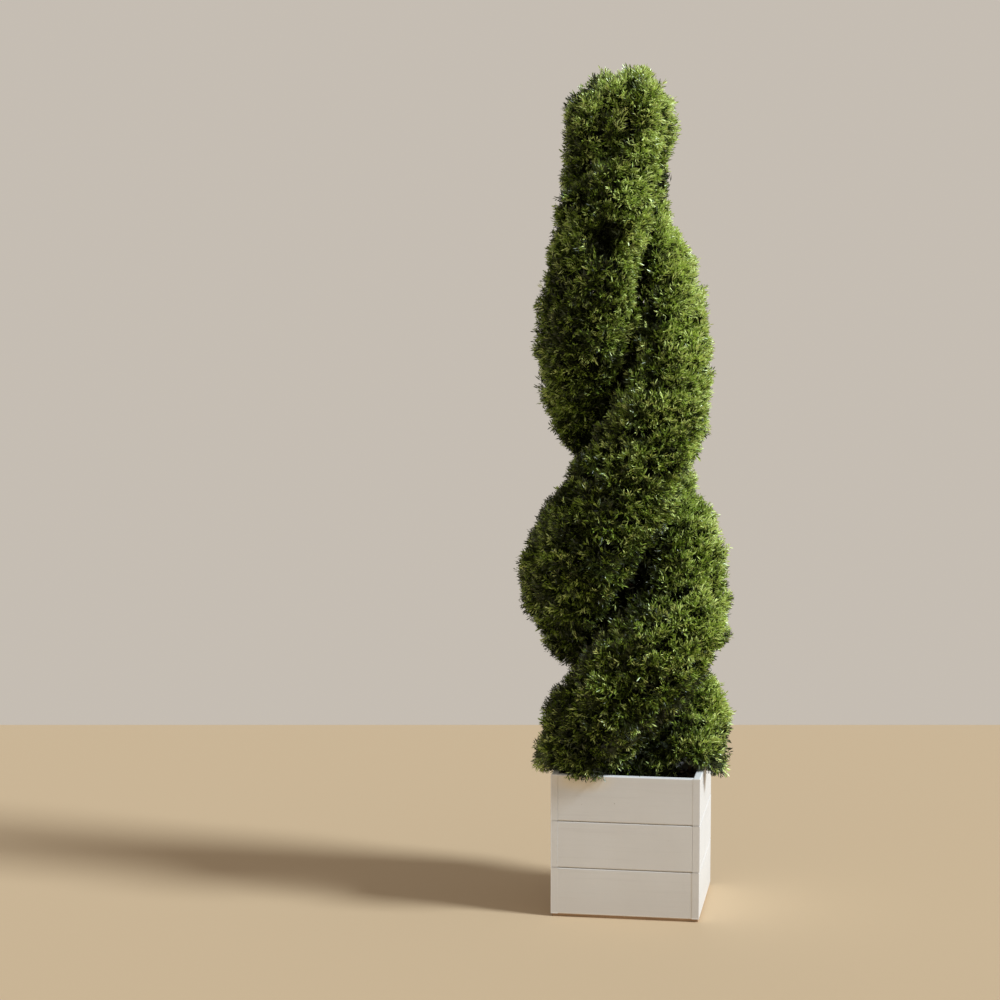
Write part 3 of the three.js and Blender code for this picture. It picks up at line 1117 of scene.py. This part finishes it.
# %% Clear of the planter
# A spray that ends near the rim hangs over it or lies on it, so that none runs into a wall. None
# hangs over the left wall or the front half of the right one.
planter_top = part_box("planter_front_board_3")[1].z
planter_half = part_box("planter_right_board_3")[1].x
widest = np.abs(spray_tip[:, :2]).max(axis=1)
near_wall = (widest > planter_half - 0.020) & (widest < planter_half + 0.014)
near_wall &= spray_tip[:, 2] < planter_top + 0.010
hangs_over = near_wall & (np.abs(tip_surface[:, :2]).max(axis=1) > planter_half - 0.016)
hangs_over &= tip_surface[:, 0] > -0.084
hangs_over &= (tip_surface[:, 0] < 0.1) | (tip_surface[:, 1] > -0.015)
overhang = draws.uniform(0.003, 0.013, spray_count)[hangs_over]
spray_tip[hangs_over, :2] *= ((planter_half + overhang) / widest[hangs_over])[:, None]
spray_tip[hangs_over, 2] = planter_top + 0.002 - 0.7 * overhang
over_rim = sideways[hangs_over] * 0.78 - 0.62 * UP
over_rim += draws.normal(0, 0.15, over_rim.shape)
leaning[hangs_over] = unit(over_rim)
on_wall = near_wall & ~hangs_over & (spray_tip[:, 2] < planter_top + 0.003)
spray_tip[on_wall, 2] = planter_top + 0.004
print("sprays over the rim", hangs_over.sum(), "on it", on_wall.sum())

# %% Size and roll of each spray
spray_size = draws.uniform(0.82, 1.22, spray_count)
roll = draws.uniform(0, 2 * math.pi, spray_count)
side_a = unit(np.cross(leaning, np.array([0.1, 0.2, 0.97])))
side_b = np.cross(leaning, side_a)
fan_side = side_a * np.cos(roll)[:, None] + side_b * np.sin(roll)[:, None]
fan_up = np.cross(leaning, fan_side)


# %% Shades of each spray
def equal_ranks(values, count):
    """Ranks from 0 to count - 1 by rising value, with the same number of values in each."""
    cuts = np.quantile(values, np.linspace(0, 1, count + 1)[1:-1])
    return np.searchsorted(cuts, values)


drift = np.array([noise.noise(Vector(place) * 17) for place in tip_surface])
# The shade is partly random and partly painted light and shade: lower where the crown is closed, in the
# hollows and low down, higher on the sun side.
shade = drift * 0.9 + draws.normal(0, 0.55, spray_count) + 0.9 * spray_open
sun_side = np.clip(outward @ np.array(to_sun) - 0.25, 0, 1)
shade += 0.7 * sun_side - 3.2 * hollow_mask[grown] + 0.4 * tip_surface[:, 2]
body_rank = equal_ranks(shade, len(body_greens))
# The tips get a stronger painted light on the sun side, more so higher up.
high_up = np.clip(tip_surface[:, 2] - 0.8, 0, 0.5)
tip_shade = shade + (2.0 + 3.6 * high_up) * sun_side + draws.normal(0, 0.8, spray_count)
tip_rank = equal_ranks(tip_shade, len(tip_greens))
pattern_of = draws.integers(0, len(spray_patterns), spray_count)
print("sprays of each body green", np.bincount(body_rank))


# %% Build the sprays
def place_shoots(which, part):
    """World corners of the tip shoots (part 0) or body shoots (part 1) of some sprays."""
    local = np.stack([pattern[part] for pattern in spray_patterns])[pattern_of[which]]
    local = local.reshape(len(which), -1, 3) * spray_size[which, None, None]
    corners = spray_tip[which, None] + turned(local, leaning[which], fan_side[which], fan_up[which])
    return corners.reshape(-1, 4, 3)


stalk_end = 0.0100
stalk_belly = 0.0220
stalk_half_width = 0.0008


def stalks(which):
    """One thin folded kite from the twig's end to the middle of each spray."""
    back = leaning[which] * spray_size[which, None]
    end = spray_tip[which] - back * stalk_end
    belly = spray_tip[which] - back * stalk_belly
    wide = fan_side[which] * stalk_half_width
    return np.stack([twig_tip[which], belly + wide, end, belly - wide], axis=1)


foliage = []
for rank, green in enumerate(body_greens):
    chosen = np.flatnonzero(body_rank == rank)
    corners = np.concatenate([place_shoots(chosen, 1), stalks(chosen)])
    name = green.name.replace("green", "bodies")
    foliage.append(joined_mesh(name, corners, kite_faces, green))
for rank, green in enumerate(tip_greens):
    corners = place_shoots(np.flatnonzero(tip_rank == rank), 0)
    name = green.name.replace("green", "shoots")
    foliage.append(joined_mesh(name, corners, kite_faces, green))

# %% [markdown]
# ## Inner leaves
# Behind the sprays are darker leaves, coloured near black as a painted shade. They stop the light and make
# the depth between the tufts. They are broader, and sit 1.5 to 3 cm under the skin, closer together where the
# crown is closed, and round the boughs.

# %% Inner leaves
draws = np.random.default_rng(41)
heart_count = 3600
leaves_at_each = 3
inner_chance = 0.27 + 0.25 * (open_share < 0.6)
inner_pick = np.flatnonzero((draws.random(len(skin)) < inner_chance) & ~post_gap)
inner_depth = draws.uniform(0.015, 0.030, (len(inner_pick), 1))
heart_pick = draws.integers(0, len(bough_points), heart_count)
heart_leaves = bough_points[heart_pick] + draws.normal(0, 0.009, (heart_count, 3))
middle = np.vstack([skin[inner_pick] - normals[inner_pick] * inner_depth, heart_leaves])
inner_outward = np.vstack([normals[inner_pick], unit(heart_leaves * LEVEL)])
inner_corners = []
for _ in range(leaves_at_each):
    forward = unit(draws.normal(0, 0.6, middle.shape) + inner_outward * 0.35)
    side = unit(np.cross(forward, draws.normal(0, 1, middle.shape)))
    length = draws.uniform(0.012, 0.019, (len(middle), 1))
    width = length * 0.30
    fold = np.cross(forward, side) * width * 0.3
    belly = middle - forward * length * 0.1 + fold
    base = middle - forward * length / 2
    tip = middle + forward * length / 2
    wide = side * width
    inner_corners.append(np.stack([base, belly + wide, tip, belly - wide], axis=1))
inner_piece = joined_mesh("inner_leaves", np.concatenate(inner_corners), kite_faces, inner_green)
foliage.append(inner_piece)
for piece in foliage:
    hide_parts(*strand_masses)
bpy.data.objects.remove(guide)
